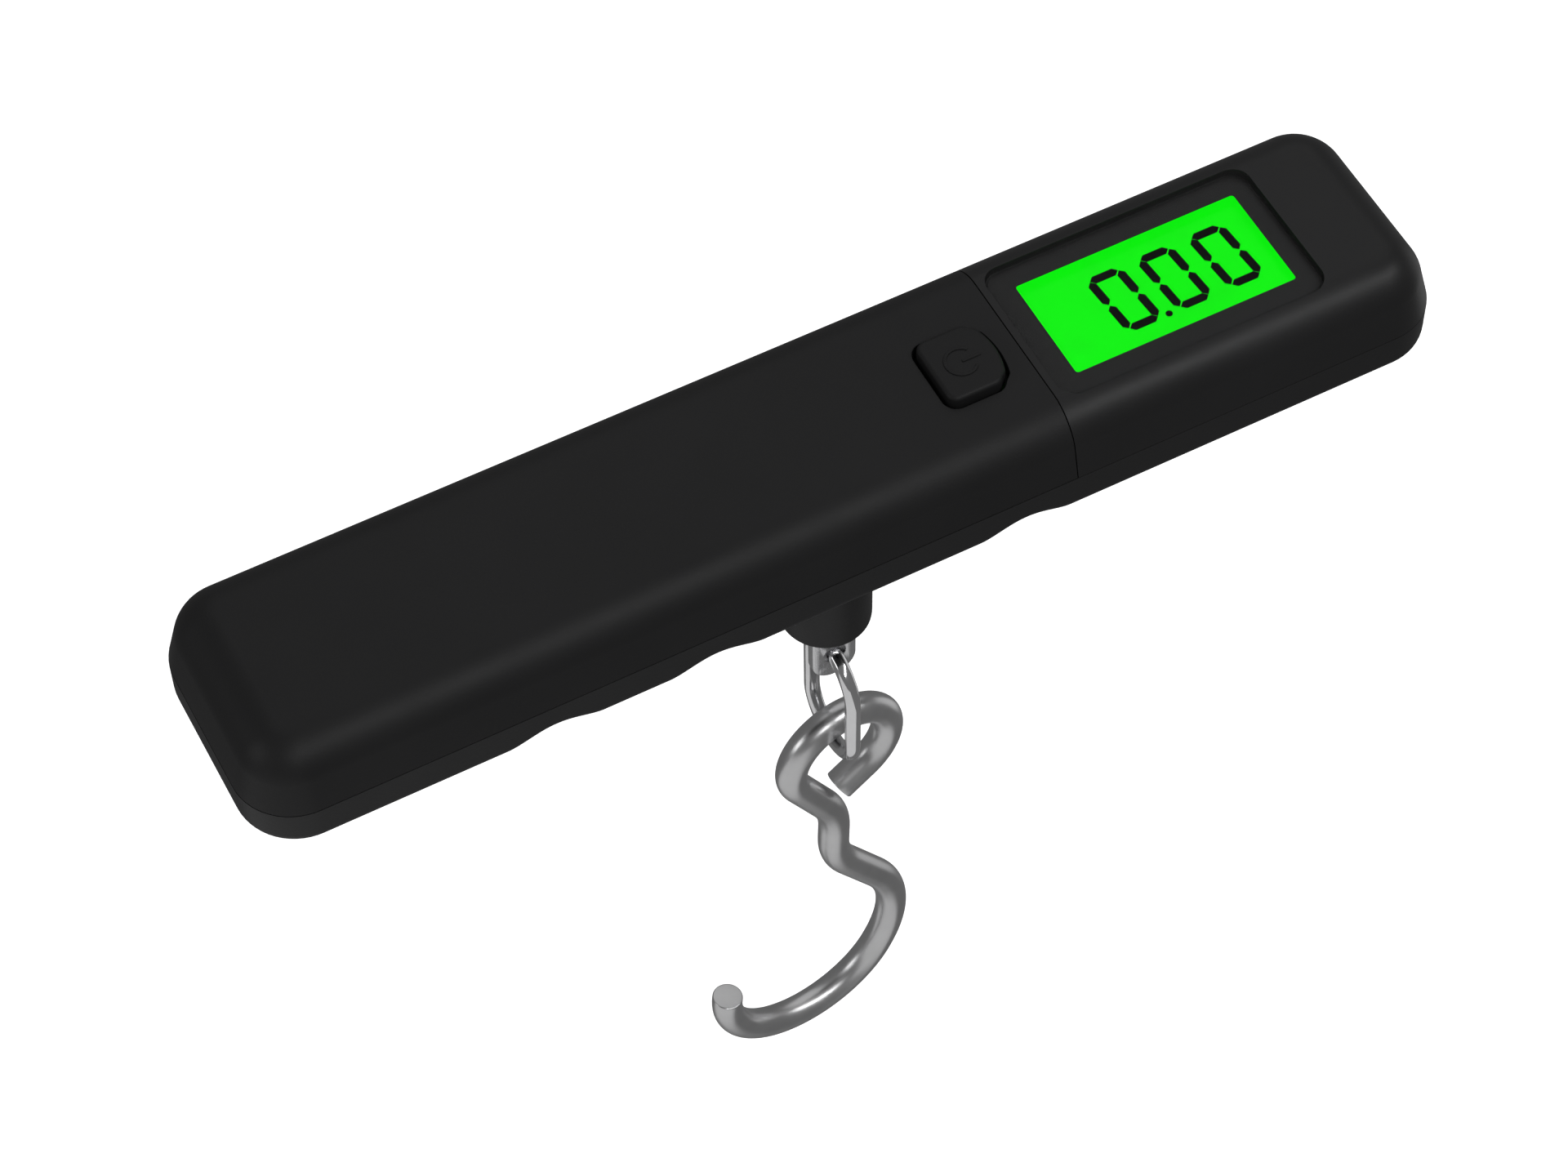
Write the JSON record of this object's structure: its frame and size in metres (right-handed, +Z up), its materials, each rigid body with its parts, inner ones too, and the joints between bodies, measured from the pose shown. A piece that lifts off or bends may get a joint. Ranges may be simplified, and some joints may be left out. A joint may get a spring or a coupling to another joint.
{
  "type": "digital luggage scale",
  "caption": "Hand-held luggage scale: a bar grip with a push button and a lit read-out at one end, and a wire hook hung on an oval link under its middle.",
  "frame": {"origin": "on the flat top face of the bar, straight above the axis that the hook hangs on", "axes": "+X along the bar towards the read-out end, +Y across the bar to its back, +Z up out of the top face; the hook hangs towards -Z"},
  "size_m": [0.15, 0.0304, 0.1311],
  "materials": {
    "soft_black": "black soft-touch plastic, fine grain, dull sheen",
    "satin_black": "black plastic, smoother satin sheen than the handle",
    "rubber_black": "black rubber",
    "lens_clear": "clear plastic window",
    "lcd_green": "back-lit green liquid crystal glass",
    "guide_white": "milky light-guide plastic",
    "laminate": "green glass-fibre laminate with solder mask",
    "chip_black": "moulded epoxy",
    "film_amber": "amber film",
    "copper": "bare copper foil",
    "nickel": "nickel-plated can",
    "steel": "zinc-plated steel",
    "beam_steel": "ground alloy steel",
    "strap_steel": "blanked stainless strip",
    "chrome": "bright chrome wire",
    "hook_steel": "bright nickel-chrome plated wire"
  },
  "bodies": {
    "bar": {"handle_cover": "soft_black", "head_cover": "satin_black", "lower_shell": "soft_black", "neck_sleeve": "soft_black", "display_lens": "lens_clear", "lcd_panel": "lcd_green", "light_guide": "guide_white", "zebra_strip": "rubber_black", "main_board": "laminate", "controller_chip": "chip_black", "tact_switch": "chip_black", "coin_cell": "nickel", "cell_contact_negative": "steel", "cell_contact_positive": "steel", "load_cell_beam": "beam_steel", "strain_gauge_1": "film_amber", "strain_gauge_2": "film_amber", "gauge_leads": "copper", "case_screw_1": "steel", "case_screw_2": "steel", "case_screw_3": "steel", "case_screw_4": "steel", "case_screw_5": "steel", "board_screw_1": "steel", "board_screw_2": "steel", "board_screw_3": "steel", "beam_screw_1": "steel", "beam_screw_2": "steel", "hanger_strap": "strap_steel", "strap_pin": "steel"},
    "button": {"power_button": "rubber_black"},
    "plunger": {"switch_plunger": "guide_white"},
    "cap": {"battery_cap": "soft_black"},
    "ring": {"link_ring": "chrome"},
    "hook": {"luggage_hook": "hook_steel"}
  },
  "joints": [
    {"name": "power_button_press", "type": "slide", "parent": "bar", "child": "button", "axis": [0, 0, -1], "range_m": [0, 0.0005], "stiffness_N_per_m": 1500},
    {"name": "switch_plunger_press", "type": "slide", "parent": "bar", "child": "plunger", "axis": [0, 0, -1], "range_m": [0, 0.0005]},
    {"name": "ring_swing", "type": "hinge", "parent": "bar", "child": "ring", "pos_m": [0, 0, -0.04612], "axis": [0, 1, 0], "range_deg": [-80, 80]},
    {"name": "hook_swing", "type": "hinge", "parent": "ring", "child": "hook", "pos_m": [0, 0, -0.06176], "axis": [0.9945, 0.1045, 0], "range_deg": [-75, 75]},
    {"name": "battery_cap_turn", "type": "hinge", "parent": "bar", "child": "cap", "pos_m": [0.046, 0, -0.014], "axis": [0, 0, -1], "range_deg": [0, 45]}
  ],
  "couplings": [
    {"joint": "switch_plunger_press", "follows": "power_button_press", "ratio": 1}
  ]
}
